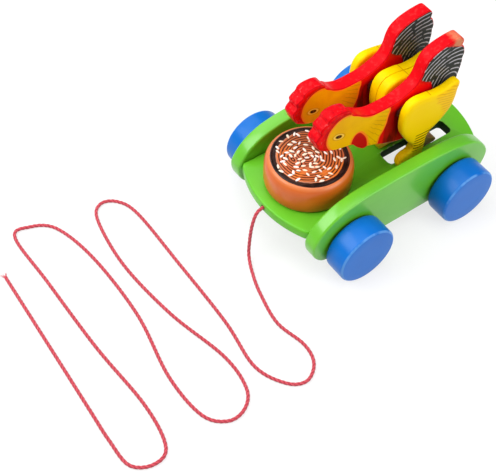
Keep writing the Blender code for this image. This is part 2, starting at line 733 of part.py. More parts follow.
make_deck()
for rail_side, rail_word in ((1, "left"), (-1, "right")):
    make_rail(rail_side, rail_word)
    make_rail_dowels(rail_side, rail_word)
    make_wheel("wheel_front_" + rail_word, FRONT_AXLE_X, rail_side)
    make_wheel("wheel_rear_" + rail_word, REAR_AXLE_X, rail_side)
make_axle("axle_front", FRONT_AXLE_X)
make_axle("axle_rear", REAR_AXLE_X)
make_cam(1, "left", LEFT_CAM_ANGLE)
make_cam(-1, "right", RIGHT_CAM_ANGLE)
make_hen(1, "left", 0.0, 0.0, 0.0)
make_hen(-1, "right", RIGHT_HEN_TILT, RIGHT_HEAD_BACK, RIGHT_HEAD_LOWER)
for board_word, board_y, inward_side in (
    ("outer_left", OUTER_BOARD_Y, -1),
    ("inner_left", INNER_BOARD_Y, 0),
    ("inner_right", -INNER_BOARD_Y, 0),
    ("outer_right", -OUTER_BOARD_Y, 1),
):
    make_leg_board("leg_board_" + board_word, board_y, inward_side)
    make_foot_dowels(board_word, board_y)
make_pivot()
make_bowl()
make_cord()
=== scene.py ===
"""The looks of a wooden pull-along toy: two hens on a green cart peck at a bowl of grain.

Metres, +X towards the cord, +Y the toy's left side, +Z up, as in the frame.
"""

import json
import math
import random

import bpy
import numpy as np
from mathutils import Euler, Matrix, Vector


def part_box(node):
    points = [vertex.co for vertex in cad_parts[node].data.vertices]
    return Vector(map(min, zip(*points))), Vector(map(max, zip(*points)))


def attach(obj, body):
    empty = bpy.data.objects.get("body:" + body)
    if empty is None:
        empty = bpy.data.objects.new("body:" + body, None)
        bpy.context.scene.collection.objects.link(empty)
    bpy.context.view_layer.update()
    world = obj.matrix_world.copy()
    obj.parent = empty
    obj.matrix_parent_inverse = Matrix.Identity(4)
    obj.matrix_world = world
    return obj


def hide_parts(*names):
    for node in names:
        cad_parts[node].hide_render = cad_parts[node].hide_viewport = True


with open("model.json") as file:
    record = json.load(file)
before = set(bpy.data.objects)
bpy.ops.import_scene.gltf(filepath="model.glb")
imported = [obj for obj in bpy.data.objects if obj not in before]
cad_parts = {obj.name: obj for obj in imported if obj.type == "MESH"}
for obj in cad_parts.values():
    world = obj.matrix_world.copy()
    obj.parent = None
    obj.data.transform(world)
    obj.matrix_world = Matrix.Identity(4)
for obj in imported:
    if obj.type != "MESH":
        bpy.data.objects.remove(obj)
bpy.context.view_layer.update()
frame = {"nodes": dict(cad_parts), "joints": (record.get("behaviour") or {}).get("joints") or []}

# Metres times this are millimetres
IN_MM = 1000

# Camera: place in metres, angles in degrees, lens in millimetres
CAMERA_PLACE = (0.355594, 0.342970, 0.579102)
CAMERA_AZIMUTH = 51.70
CAMERA_ELEVATION = 52.50
CAMERA_ROLL = 3.05
CAMERA_LENS = 85.88
SENSOR_WIDTH = 36.0

# Cord, in metres
CORD_DIAMETER = 0.0024
CORD_EXIT = (0.0746, 0.0, 0.03075)
CORD_STEP = 0.0006
STRAND_TURN = 0.0085
CORD_SIDES = 15
CORD_STRANDS = 3
FIBRE_COUNT = 16
FIBRE_RADIUS = 0.00017

# Its route in millimetres: inside the deck, then down from its edge and along the ground
CORD_INSIDE = [(63.4, 0.0, 30.75), (72.2, 0.0, 30.75)]
CORD_ROUTE = [
    (79.5, 0.8, 29.6), (84.2, 2.6, 22), (87.3, 4.9, 10.6), (90, 8.6, 3.4), (94.4, 18, 1.4),
    (99.6, 33, 1.3), (103.9, 56, 1.3), (100, 77, 1.3), (103.2, 90.2, 1.3),
    (113.6, 97, 1.3), (124.2, 91.2, 1.3), (132.2, 72, 1.3), (128.4, 38, 1.3),
    (127.2, -14, 1.3), (126.9, -58, 1.3), (132.2, -73.6, 1.3), (142.2, -77.9, 1.3),
    (150.2, -67.5, 1.3), (155.2, -30, 1.3), (151.6, 15, 1.3), (142.6, 57, 1.3),
    (144.2, 81, 1.3), (152.8, 91.4, 1.3), (164.8, 92.3, 1.3), (174.6, 80.5, 1.3),
    (175.8, 50, 1.3), (167.8, 5, 1.3), (167.4, -44, 1.3), (174.2, -76.5, 1.3),
    (187.4, -87, 1.3), (198.6, -84.8, 1.3), (199, -45, 1.3), (199.2, 10, 1.3),
    (196.8, 58, 1.3), (201.2, 85.6, 1.3), (212.2, 91, 1.3), (223.4, 83.8, 1.3),
    (224.4, 65, 1.3), (223.4, 45, 1.3), (221.5, 10, 1.3), (217.7, -62.2, 1.3),
]

# Places taken from the frame
PIVOT = {joint["name"]: Vector(joint["pos_m"]) for joint in frame["joints"]}
DECK_LOW, DECK_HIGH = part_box("deck")
DECK_TOP = DECK_HIGH.z
BOWL_LOW, BOWL_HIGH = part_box("bowl")
BOWL_CENTRE = (BOWL_LOW + BOWL_HIGH) / 2
AXLE_X, _, AXLE_HEIGHT = PIVOT["front_axle_spin"]

# Sizes in metres
AXLE_HOLE_RADIUS = 0.0038
PIN_HOLE_RADIUS = 0.0023
HEN_ROUNDING = 0.0011
LEG_BOARD_ROUNDING = 0.0012
LEG_BOARD_SEAM = 0.0003
RAIL_ROUNDING = 0.0014
DECK_ROUNDING = 0.0012
DECK_END_RADIUS = 0.068
DECK_CORNER = 0.0015
SLOT_BACK = -0.0586
SLOT_FRONT = -0.008
SLOT_MIDDLE = (SLOT_BACK + SLOT_FRONT) / 2
SLOT_LENGTH = SLOT_FRONT - SLOT_BACK
SLOT_WIDTH = 0.0114
SLOT_OFF_CENTRE = 0.0137
SLOT_ROUNDING = 0.0028
SLOT_EDGE_ROUNDING = 0.0005
CORD_HOLE_RADIUS = 0.0017
KNOT_POCKET_X = 0.0586
KNOT_POCKET_RADIUS = 0.0045
KNOT_POCKET_TOP = 0.03335
WHEEL_ROUNDING = 0.0018
WHEEL_BORE_DEPTH = 0.0112

# The grid that boards are cut into, how far a cutter starts outside, and what counts as no distance
GRID = 0.0010
PAST = 0.002
TINY = 0.00001

# The right hen's tilt in degrees, and how far its head and face sit back and lower, in millimetres
RIGHT_HEN_TILT = 2.2
RIGHT_HEAD_SHIFT = (4.4, 2.0)
RIGHT_FACE_SHIFT = (3.0, 1.2)

# Where along a hen's board that shift begins, and over how many millimetres it grows
HEAD_START = 30
HEAD_BLEND = 14

# How much a leg board thins at its edge, and over how many millimetres
CROWN_SHARE = 0.32
CROWN_WIDTH = 4.5

# Grains: their number, and in metres how far they reach, lie apart and measure
GRAIN_COUNT = 78
GRAINS_REACH = 0.0208
GRAINS_APART = 0.0022
GRAIN_HALF_LENGTHS = (0.00145, 0.00185)
GRAIN_WIDTH_SHARES = (0.40, 0.48)
GRAIN_HALF_HEIGHT = 0.0005

# The hen board's outline, millimetres from its pivot. True marks a sharp corner.
HEN_OUTLINE = [
    (60.9, 2.6), (54.6, -1.6, True), (47.5, -4.6), (39.5, -6.6), (35.6, -8.2), (31, -13.4),
    (26.8, -16.8), (23.6, -16.6, True), (16.6, -19.6), (7.5, -24.2), (-1.5, -27.6), (-8, -29),
    (-12.6, -32), (-15.4, -37.5), (-17.8, -43.6), (-20.6, -47.1), (-24, -48.7, True),
    (-34.6, -48.7, True), (-36.6, -47.3), (-35.7, -45.8), (-33.2, -43.2), (-29, -40.9),
    (-26.6, -37), (-30.4, -29.4), (-36, -20), (-40.4, -8), (-42.6, 5), (-43.9, 15),
    (-43.7, 19.6, True), (-44.3, 22.6), (-42.9, 27.8), (-40.9, 30.2, True), (-41.6, 33.6),
    (-39.2, 36.6), (-33.4, 36.9), (-27.6, 36.3), (-21.4, 34.8), (-16, 31.6), (-13.2, 26.6),
    (-11.6, 20.4), (-8.6, 15.2), (-3, 12), (5, 9.6), (14.5, 9.2), (22.6, 9.8), (29.4, 12.6),
    (34.6, 16.2), (38.6, 18.8), (41, 22.6), (44.2, 24.5), (48.8, 25.5), (53.4, 25.4),
    (56, 24), (57, 21.8), (59.4, 20.4), (61.4, 18.2), (60.9, 15.2), (62.9, 13.2),
    (64, 10.6), (62.6, 6.4),
]

# The painted face and neck, and the painted tail, from the same pivot
FACE_OUTLINE = [
    (53.4, -1.4), (55.7, 2.8), (56.9, 7.8), (55.9, 13.6), (52.4, 18.2), (48.2, 20.8), (43.2, 21.2),
    (37.9, 19), (33.3, 15.8), (28.1, 11.6), (23.1, 10), (18.5, 10.4), (14.3, 11.1),
    (11.3, 10.1, True), (9.5, 6.7), (10.4, 1.9), (11.2, -5.2), (12.9, -9.7), (14.7, -13.5),
    (15.8, -22, True), (23.6, -22, True), (24.8, -11.2), (27.1, -5.3), (31.2, 0.2), (34.5, 0.3),
    (36.9, -3.1), (37.4, -9, True), (46, -9, True),
]
TAIL_OUTLINE = [
    (-10, 21.6), (-11, 24.8), (-12.2, 28.8), (-14.2, 31.8), (-17.6, 34), (-22.6, 35.4),
    (-28.4, 35.8), (-34.6, 36.2, True), (-50, 37, True), (-50, 2, True), (-24, 2, True),
    (-21.4, 8.8), (-20.3, 12.3, True), (-17.4, 13.6), (-14.4, 15.6), (-11.8, 18.2),
]
LEFT_EYE = (47.9, 6.7)
RIGHT_EYE = (45.2, 4.5)

# The wing and leg board's outline, millimetres from the deck's top
LEG_BOARD_OUTLINE = [
    (-10.2, 0, True), (-8.4, 4.4), (-9.4, 8.6), (-12.7, 10.8), (-15.8, 11.2), (-17.6, 13.6),
    (-17.4, 16.9), (-13.4, 21.8), (-9.3, 28.2), (-6.4, 34.4), (-5.5, 41.5), (-6.2, 50),
    (-9.2, 55), (-14, 56.7), (-22, 55.8), (-30, 54.2), (-37, 54.5), (-42.8, 56.3),
    (-46.2, 55.6), (-47.6, 53), (-46.8, 48.4), (-46.4, 42.7), (-44.6, 36), (-40.4, 30.2),
    (-34.9, 25.6), (-30, 22.4), (-28.2, 18.6), (-28, 12), (-27.4, 4), (-27.2, 0, True),
]

# The rail's outline, millimetres from the middle between its axles
RAIL_OUTLINE = [
    (0, 33.3), (23.3, 32.9), (38.4, 31.6), (50.8, 28.4), (60.4, 22.3), (66.2, 15.2), (68.6, 8.8),
    (66.8, 0), (61.1, -7), (53.6, -9.2, True),
]


def linear(tone):
    """A colour as a paint chart gives it, 0 to 255, made linear for the shader."""
    made = []
    for level in tone:
        level /= 255
        made.append(level / 12.92 if level <= 0.04045 else ((level + 0.055) / 1.055) ** 2.4)
    return (*made, 1)


def both_ways(operation):
    """An operator on signals and its reflected form."""
    return (
        lambda self, other: self.math(operation, self, other),
        lambda self, other: self.math(operation, other, self),
    )


class Signal:
    """A value on its way through a material. Arithmetic on it adds the nodes that it needs."""

    def __init__(self, paint, socket):
        self.paint = paint
        self.socket = socket

    def math(self, operation, first, second=0):
        return self.paint.node("Math", {"operation": operation}, {0: first, 1: second})

    __add__, __radd__ = both_ways("ADD")
    __sub__, __rsub__ = both_ways("SUBTRACT")
    __mul__, __rmul__ = both_ways("MULTIPLY")
    __truediv__, __rtruediv__ = both_ways("DIVIDE")
    __pow__, __rpow__ = both_ways("POWER")

    def __abs__(self):
        return self.math("ABSOLUTE", self)

    def fold(self):
        """0.5 at each whole number, and 0 halfway to the next."""
        return abs(self.math("FRACT", self) - 0.5)

    def rise(self, low, high):
        """0 up to low, 1 from high on, and smooth between them. Low may be over high."""
        if low > high:
            return 1 - self.rise(high, low)
        values = {"Value": self, "From Min": low, "From Max": high}
        return self.paint.node("MapRange", {"interpolation_type": "SMOOTHSTEP"}, values)


def apart(first, second):
    """How far off a point is that is this far off on one axis and on the other."""
    return (first * first + second * second) ** 0.5


class Paint:
    """A finish under way: its material, its shader and the nodes added so far."""

    def __init__(self, name, roughness=0.4, **shader_values):
        self.material = bpy.data.materials.new(name)
        self.material.use_nodes = True
        self.tree = self.material.node_tree
        self.shader = self.tree.nodes["Principled BSDF"]
        self.set("Roughness", roughness)
        for name, value in shader_values.items():
            self.set(name.replace("_", " ").title().replace("Ior", "IOR"), value)

    def feed(self, socket, value):
        if isinstance(value, Signal):
            self.tree.links.new(value.socket, socket)
        else:
            socket.default_value = value

    def set(self, name, value):
        self.feed(self.shader.inputs[name], value)

    def so_far(self, name):
        """What an input of the shader has been given."""
        return Signal(self, self.shader.inputs[name].links[0].from_socket)

    def node(self, kind, settings=None, values=None, output=0):
        """Adds a node, its settings first, then its inputs, and gives one output."""
        made = self.tree.nodes.new("ShaderNode" + kind)
        for name, value in (settings or {}).items():
            setattr(made, name, value)
        for name, value in (values or {}).items():
            self.feed(made.inputs[name], value)
        return Signal(self, made.outputs[output])

    def place(self):
        """The point on the piece, in metres, in the frame."""
        return self.node("TexCoord", output="Object")

    def parts(self, vector):
        """The three numbers of a vector."""
        first = self.node("SeparateXYZ", {}, {0: vector})
        return [Signal(self, output) for output in first.socket.node.outputs]

    def from_point(self, x, y, z):
        """Across, along and above a point of the frame, in millimetres."""
        values = {0: self.place(), 1: (x, y, z)}
        offset = self.node("VectorMath", {"operation": "SUBTRACT"}, values)
        return [part * IN_MM for part in self.parts(offset)]

    def board_point(self):
        """Across and up on a board, in millimetres, from its own origin."""
        flat = self.parts(self.node("UVMap", {"uv_map": "board"}))
        return flat[0] * 10, flat[1] * 10

    def stored(self, name):
        """A number kept on the mesh."""
        return self.node("Attribute", {"attribute_name": name}, output="Fac")

    def noise(self, scale, detail=2, stretch=None, turn=(0, 0, 0), roughness=0.5, distortion=0):
        """Soft spots, or with the axes stretched a pattern that runs one way."""
        point = self.place()
        if stretch:
            values = {"Vector": point, "Scale": stretch, "Rotation": turn}
            point = self.node("Mapping", {}, values)
        values = {"Vector": point, "Scale": scale, "Detail": detail}
        values |= {"Roughness": roughness, "Distortion": distortion}
        return self.node("TexNoise", {}, values)

    def mix(self, factor, first, second):
        """Colour first, and second where factor is 1. A plain colour is a paint chart's."""
        values = {0: factor}
        for socket, tone in ((6, first), (7, second)):
            values[socket] = tone if isinstance(tone, Signal) else linear(tone)
        return self.node("Mix", {"data_type": "RGBA"}, values, 2)

    def coats(self, shade, *layers):
        """Thin coats over a colour, each a share and a colour."""
        for share, tone in layers:
            shade = self.mix(share, shade, tone)
        return shade

    def bump(self, height, strength, distance, under=None):
        """Raises the surface by height. under is a bump that is already there."""
        values = {"Height": height, "Strength": strength, "Distance": distance}
        if under:
            values["Normal"] = under
        self.set("Normal", self.node("Bump", {}, values))

    def done(self, shade):
        """The finished material, in this colour."""
        self.set("Base Color", shade)
        return self.material


def enamel(name, tone, deep, bare=None, worn=0, roughness=0.30, coat=0.3, shine=0.5):
    """Gloss paint on wood, a little uneven, with faint pores, and thinner where edges are worn."""
    paint = Paint(name, coat_weight=coat, specular_ior_level=shine)
    paint.set("Coat Roughness", 0.12)
    cloudy = paint.noise(26, 3)
    shade = paint.mix(cloudy.rise(0.35, 0.75) * 0.55, tone, deep)
    streaks = paint.noise(110, 3, (0.10, 1, 1))
    shade = paint.mix(streaks.rise(0.55, 0.80) * 0.18, shade, deep)
    if bare:
        scuffs = paint.noise(190, 4, roughness=0.65)
        gone = (paint.stored("rim") * scuffs).rise(0.66 - worn, 0.72 - worn)
        shade = paint.mix(gone, shade, bare)
        roughness = roughness + gone * 0.3
    paint.set("Roughness", roughness + cloudy * 0.06)
    pores = paint.noise(900, 2, (0.16, 1, 1)).rise(0.62, 0.75)
    paint.bump(paint.noise(220) * 0.8 + pores * -0.25, 0.05, 0.0006)
    paint.set("Base Color", shade)
    return paint


def bare_wood(name, light, dark, along=(0.06, 1, 1)):
    """Sanded wood: long soft streaks with short dark flecks."""
    paint = Paint(name, 0.62)
    streaks = paint.noise(420, 4, along, roughness=0.6, distortion=0.4)
    flecks = paint.noise(1500, 2, along)
    shade = paint.mix(streaks.rise(0.3, 0.75), light, dark)
    shade = paint.mix(flecks.rise(0.66, 0.74) * 0.6, shade, dark)
    paint.bump(streaks + flecks * 0.4, 0.12, 0.0005)
    return paint.done(shade)


GREEN = (106, 198, 38)
GREEN_DEEP = (88, 184, 28)
BLUE = (0, 112, 208)
BLUE_DEEP = (0, 100, 194)
RED = (244, 8, 16)
RED_DEEP = (230, 4, 12)
YELLOW = (255, 216, 0)
YELLOW_DEEP = (252, 202, 0)
BEECH = (214, 178, 128)
BEECH_DARK = (168, 122, 74)


def hen_finish(name, eye, amber_tones, worn_tail):
    """Red enamel with a painted face and neck, an eye and a dark tail, worn at one corner."""
    paint = enamel(name, RED, RED_DEEP, coat=0, shine=0.05)
    across, up = paint.board_point()
    face = paint.stored("face")
    tail = paint.stored("tail")
    rim = paint.stored("rim")
    on_face = rim.rise(0.16, 0.05)
    wobble = paint.noise(300) - 0.5
    edge = face + wobble * 0.4

    # The red, with darker rims carrying painted highlights, a darker line along the roundings,
    # darker strokes round the face, painted shade and highlights on the comb's lumps, painted shade
    # from the wing board on the breast, and the wattle
    border = rim.rise(0.12, 0.4) * rim.rise(0.95, 0.6)
    # pale pink specks on the rims are painted highlights
    flecks = paint.noise(420)
    strokes = paint.noise(150, 3, (1, 1, 0.3), (0, 0.5, 0))
    shaded = strokes.rise(0.45, 0.75) * 0.5 + edge.rise(4.6, 0.6) * 0.7 * edge.rise(-0.5, 0.4)
    comb_zone = across.rise(37, 41) * up.rise(1, 5) * edge.rise(0.5, 1.5)
    # light and dark spots on the comb are painted highlights and shade on its lumps
    comb_shade_and_highlight = paint.noise(330)
    # the breast darkens with streaks: partly painted streaks, mostly painted shade from the wing
    # board beside it
    breast = across.rise(-3, 2) * across.rise(13, 10)
    breast = breast * up.rise(7, 1) * up.rise(-31, -26) * edge.rise(-0.3, 0.6)
    streaks = paint.noise(420, 2, (1, 1, 0.12), (0, 0.2, 0))
    breast = breast * (0.62 + streaks.rise(0.4, 0.62) * 0.38)
    wattle = edge.rise(0.2, 0.6) * across.rise(14, 17) * up.rise(2, 0)
    wattle = wattle * across.rise(38, 36)
    shade = paint.coats(
        paint.so_far("Base Color"),
        (rim.rise(0.5, 0.9) * 0.8, (226, 12, 26)),
        (rim * flecks.rise(0.54, 0.66) * 0.3, (240, 70, 70)),
        (border * 0.6, (168, 8, 18)),
        (shaded * on_face, (212, 8, 10)),
        (comb_shade_and_highlight.rise(0.52, 0.64) * comb_zone * 0.4, (176, 6, 26)),
        (comb_shade_and_highlight.rise(0.34, 0.28) * comb_zone * 0.5, (250, 92, 92)),
        (breast * on_face, (104, 2, 6)),
        (wattle * on_face, (196, 4, 16)),
    )

    # The face and neck, with hackle lines and the eye
    away = across - 44
    above = up - 18.4
    turn = above.math("ARCTAN2", above, away)
    comb = (turn * 11 + wobble * 0.5).fold()
    ragged = paint.noise(30, 1, (1, 1, 4))
    hackle = comb.rise(0.13, 0.05) * (apart(away, above) + ragged * 14).rise(32, 38)
    ahead = across - eye[0]
    aside = up - eye[1] - ahead * 0.3
    almond = apart(ahead / 2.4, aside / 1.4)
    lids = abs(almond - 1.8 + wobble * 0.5)
    pupil = paint.mix(abs(ahead + 0.3).rise(1.2, 0.2), (40, 8, 4), (104, 54, 14))
    amber = paint.coats(
        paint.mix(paint.noise(60, 3).rise(0.35, 0.7), *amber_tones),
        (across.rise(30, 56) * 0.4, (240, 160, 4)),
        (hackle * 0.4, (168, 104, 10)),
        (lids.rise(0.5, 0.15) * 0.35, (176, 106, 6)),
        (abs(almond - 1.4).rise(0.35, 0.1) * 0.7, (255, 216, 110)),
        (almond.rise(1.1, 0.85), pupil),
    )
    painted = paint.mix(edge.rise(-0.9, -1.4), (255, 132, 30), amber)

    # The tail, with pale broken lines
    if worn_tail:
        chipped = (across + 28.4) * -0.44 + (up - 35.2) * 0.9
        tail = tail.math("MAXIMUM", tail, chipped)
    sweep = apart(across + 35, up - 3.6)
    slip = paint.noise(38, 0).rise(0.42, 0.58)
    plume = (sweep / 3.2 + 0.2 + wobble * 0.2 + slip * 0.45).fold()
    broken = paint.noise(230, 1).rise(0.34, 0.44) * sweep.rise(5, 7)
    soot = paint.mix(paint.noise(90, 3), (34, 38, 35), (56, 58, 50))
    soot = paint.mix(plume.rise(0.17, 0.08) * broken * 0.85, soot, (200, 196, 202))

    # Bare wood at the tail's tip, the belly's edge, the worn rims and the lever
    scuffs = paint.noise(240, 4, roughness=0.65)
    corner = apart(across + 36.5, up - 33)
    tip = (corner + scuffs * 4).rise(8, 4.6) * (tail + wobble).rise(-0.2, 0.8) * worn_tail
    belly = up.rise(-22, -24) * up.rise(-31, -29)
    belly = belly * across.rise(-8, -5) * paint.stored("edge").rise(-1.5, -0.5)
    gone = tip * 0.85 + belly * scuffs.rise(0.3, 0.42) * (1 - tip)
    gone = gone + (rim * scuffs).rise(0.76, 0.82) * (1 - gone)
    grain = paint.noise(300, 3, (0.1, 1, 1))
    timber = paint.mix(grain.rise(0.3, 0.7), (172, 138, 88), (128, 98, 58))
    shade = paint.coats(
        shade,
        (edge.rise(0.2, -0.1) * on_face, painted),
        ((tail + wobble * 3).rise(2.6, 0) * 0.4 * on_face, (150, 10, 16)),
        ((tail + wobble * 1.2).rise(0.4, -0.4) * on_face, soot),
        (gone, paint.mix(scuffs, (222, 160, 118), (196, 126, 88))),
        (up.rise(-34.5, -36), timber),
    )
    paint.set("Roughness", 0.32 + gone * 0.3)
    paint.bump(paint.noise(230, 1) * comb_zone, 0.8, 0.0016, paint.so_far("Normal"))
    return paint.done(shade)


def leg_board_finish():
    """Yellow enamel with faint feathers and thigh stripes, painted shade lower down and across the
    wing's top where its outline bends, and the foot left at full yellow as painted light.
    """
    paint = enamel("wing and leg paint", YELLOW, YELLOW_DEEP, roughness=0.36, coat=0, shine=0.07)
    across, up = paint.board_point()
    edge = paint.stored("edge")
    on_face = paint.stored("rim").rise(0.2, 0.08)
    wobble = paint.noise(160) - 0.5
    # the foot stays at full yellow, clear of the painted shade below, as painted light where it is
    # lit; it turns orange towards its front
    foot = up.rise(27, 21) * across.rise(-18.6, -17.2)
    thigh = up.rise(10.4, 12) * up.rise(28, 25)
    thigh = thigh * (across + 17.4 + paint.noise(45)).rise(1.2, -0.4) * on_face
    stripes = ((up - across * 0.1 + wobble * 0.6) / 2.4).fold()
    rows = ((up - across * 0.3 + wobble * 1.8) / 2.1).fold()
    ragged = paint.noise(60, 1, (1, 1, 5))
    lead = across + 29 + up.rise(50, 32) * 8 + ragged * 6
    behind = lead.rise(4, 0) * up.rise(24, 28) * edge.rise(-0.6, -2) * on_face
    # a darker line across the wing's top is painted shade of the crease where its outline bends
    crease_shade = abs(across + 25 - (up - 55) * 0.5 + wobble)
    crease_shade = crease_shade.rise(0.6, 0.1) * up.rise(54.9, 55.3)
    shade = paint.coats(
        paint.so_far("Base Color"),
        # painted shade: the board darkens towards the bottom
        (up.rise(50, 22) * 0.4, (240, 190, 0)),
        (foot, (255, 214, 10)),
        (foot * across.rise(-16, -6) * 0.6, (255, 176, 0)),
        (behind * 0.34, (255, 176, 24)),
        (rows.rise(0.26, 0.06) * behind * 0.42, (202, 128, 0)),
        (stripes.rise(0.22, 0.12) * thigh * 0.9, (70, 40, 0)),
        (crease_shade * 0.7, (190, 120, 0)),
    )
    return paint.done(shade)


def deck_finish():
    """Green enamel with painted shade on the slots' walls, and pale green flecks on their upper
    edges near the front.
    """
    paint = enamel("deck paint", GREEN, GREEN_DEEP, BEECH, -0.02, coat=0.1, shine=0.3)
    across, along, above = paint.from_point(SLOT_MIDDLE, 0, DECK_TOP)
    beyond_side = abs(abs(along) - SLOT_OFF_CENTRE * IN_MM) - SLOT_WIDTH / 2 * IN_MM
    beyond_end = abs(across) - SLOT_LENGTH / 2 * IN_MM
    outside = beyond_side.math("MAXIMUM", beyond_side, beyond_end)
    # the slots' walls are painted a near-black green, a painted shade for the dark inside the slots
    slot_wall_shade = outside.rise(0.4, 0.2) * above.rise(-0.2, -0.7)
    scuffs = paint.noise(300, 3, roughness=0.6)
    lip = outside.rise(0.9, 0.3) * across.rise(7.3, 13.3) * above.rise(-0.8, -0.2)
    shade = paint.coats(
        paint.so_far("Base Color"),
        (slot_wall_shade * 0.95, (4, 50, 14)),
        (lip * scuffs.rise(0.5, 0.56) * 0.8, (176, 206, 160)),
    )
    paint.set("Roughness", 0.36 + slot_wall_shade * 0.6)
    return paint.done(shade)


def wheel_finish():
    """Blue enamel, with a painted highlight in paler blue along the rounded outer edge."""
    paint = enamel("wheel paint", BLUE, BLUE_DEEP, roughness=0.28, coat=0, shine=0.25)
    across, along, above = paint.from_point(0, 0, AXLE_HEIGHT)
    edge = (apart(abs(across) - AXLE_X * IN_MM, above) + abs(along)).rise(77.4, 77.8)
    # the paler blue line along the rounded outer edge, broken up by noise, is a painted highlight
    worn = edge * paint.noise(160, 3).rise(0.3, 0.6) * 0.5
    return paint.done(paint.mix(worn, paint.so_far("Base Color"), (120, 180, 240)))


def dark_band(paint):
    """The brown band round the printed top, and round the bowl's rim."""
    return paint.mix(paint.noise(110, 3).rise(0.4, 0.65), (30, 10, 4), (60, 38, 32))


def grain_disc_finish():
    """A brown print like a cut trunk: dark rings round two centres, and a dark border."""
    paint = Paint("grain print", 0.36, coat_weight=0.1, specular_ior_level=0.2)
    across, along, _ = paint.from_point(*BOWL_CENTRE)
    wobble = paint.noise(70, 3) - 0.5
    fine = paint.noise(420) - 0.5
    trunk = apart(across - 0.8, along + 1.5)
    knot = apart(across - 9.5, (along + 4) * 0.6)
    near_knot = (knot + wobble * 3).rise(6.2, 5)
    trunk_rings = (trunk * 0.56 + wobble * 1.2).fold()
    knot_rings = (knot * 0.62 + wobble * 0.5).fold()
    rings = trunk_rings * (1 - near_knot) + knot_rings * near_knot + fine * 0.06
    lines = rings.rise(0.27, 0.17) * paint.noise(100, 1).rise(0.30, 0.42)
    rough_edge = apart(across, along) + wobble * 1.6 + fine * 0.6
    pale = abs(rough_edge - 20).rise(0.55, 0.2) * (across * 0.9 - along * 0.3).rise(-8, 6)
    shade = paint.coats(
        paint.mix(paint.noise(48).rise(0.40, 0.62), (230, 122, 44), (200, 106, 62)),
        (paint.noise(160, 3).rise(0.5, 0.8) * 0.3, (222, 156, 112)),
        (trunk.rise(10, 6) * 0.4, (190, 112, 84)),
        ((along + across * 0.6).rise(2, -16) * 0.6, (150, 82, 58)),
        (lines * 0.95, (58, 12, 4)),
        (pale * 0.55, (226, 160, 128)),
        (rough_edge.rise(20.3, 20.6), dark_band(paint)),
    )
    paint.set("Coat Roughness", 0.2)
    paint.bump(lines * -0.5 + paint.noise(500) * 0.3, 0.12, 0.0004)
    return paint.done(shade)


def bowl_finish():
    """Terracotta paint over turned wood, paler at its rounded top edge as a painted highlight, with
    a dark band round the top.
    """
    paint = Paint("bowl paint", 0.34, coat_weight=0.2, specular_ior_level=0.4)
    across, along, above = paint.from_point(*BOWL_CENTRE)
    turned_marks = paint.noise(900, 2, (0.02, 0.02, 1))
    cloudy = paint.noise(34, 3)
    ragged = apart(across, along) + (paint.noise(120) - 0.5) * 0.5
    shade = paint.coats(
        paint.mix(cloudy.rise(0.3, 0.7), (222, 106, 24), (204, 86, 16)),
        (turned_marks.rise(0.5, 0.8) * 0.2, (170, 78, 30)),
        # paler towards the top edge: a painted highlight on the rounded rim
        (above.rise(7.6, 9.6) * 0.38, (230, 152, 100)),
        (ragged.rise(23.9, 23.6) * above.rise(8.6, 9.4), dark_band(paint)),
    )
    paint.set("Roughness", 0.32 + cloudy * 0.1)
    paint.bump(turned_marks, 0.06, 0.0005)
    return paint.done(shade)


def seed_finish():
    """Cream husked grain, some of it a little browner."""
    paint = Paint("grain", 0.5, specular_ior_level=0.3)
    cloudy = paint.noise(140, 1).rise(0.40, 0.60)
    return paint.done(paint.mix(cloudy, (255, 246, 240), (255, 238, 212)))


def cord_finish():
    """Soft twisted cotton, darker in the grooves between its strands as painted shade, and paler on
    their crowns as painted highlight with some wear.
    """
    paint = Paint("cotton cord", 0.85)
    fluff = paint.noise(1600, 3)
    shade = paint.coats(
        # darker in the grooves and paler on the crowns: painted shade and highlight, with some wear
        # on the crowns
        paint.mix(paint.stored("crown").rise(0.1, 0.95), (158, 28, 44), (208, 66, 82)),
        (fluff.rise(0.52, 0.75) * 0.5, (228, 120, 128)),
        (paint.noise(60).rise(0.4, 0.7) * 0.3, (190, 50, 66)),
    )
    paint.set("Sheen Weight", 0.4)
    paint.bump(fluff, 0.3, 0.0003)
    return paint.done(shade)


def steel_finish():
    """Plain screw steel with turning marks."""
    paint = Paint("screw steel", 0.35, metallic=1)
    marks = paint.noise(2200, 2, (1, 1, 0.1))
    paint.bump(marks, 0.1, 0.0002)
    return paint.done(paint.mix(marks, (190, 190, 194), (140, 140, 146)))


def mode(name):
    bpy.ops.object.mode_set(mode=name)


def select_mesh():
    bpy.ops.mesh.select_all(action="SELECT")


def only(*objects):
    """Makes these the selected objects, the first of them active."""
    bpy.ops.object.select_all(action="DESELECT")
    for obj in objects:
        obj.select_set(True)
    bpy.context.view_layer.objects.active = objects[0]


def call(obj, name):
    obj.name = name
    obj.data.name = name


def joined(name, pieces):
    """The pieces as one object."""
    only(*pieces)
    bpy.ops.object.join()
    whole = bpy.context.object
    call(whole, name)
    return whole


def settle(obj):
    """Puts an object's place and turn into its mesh, so that the object sits at the origin."""
    only(obj)
    bpy.ops.object.transform_apply()


def dress(obj, material, node=None, body="chassis"):
    """Gives a piece its finish and body, and the solid that it stands for."""
    obj.data.materials.clear()
    obj.data.materials.append(material)
    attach(obj, body)
    if node:
        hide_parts(node)


def choose_edges(obj, wanted):
    """Enters edit mode with the edges selected whose two ends pass the test together."""
    only(obj)
    mode("EDIT")
    bpy.ops.mesh.select_mode(type="EDGE")
    bpy.ops.mesh.select_all(action="DESELECT")
    mode("OBJECT")
    points = obj.data.vertices
    for edge in obj.data.edges:
        edge.select = wanted(*(points[i].co for i in edge.vertices))
    mode("EDIT")


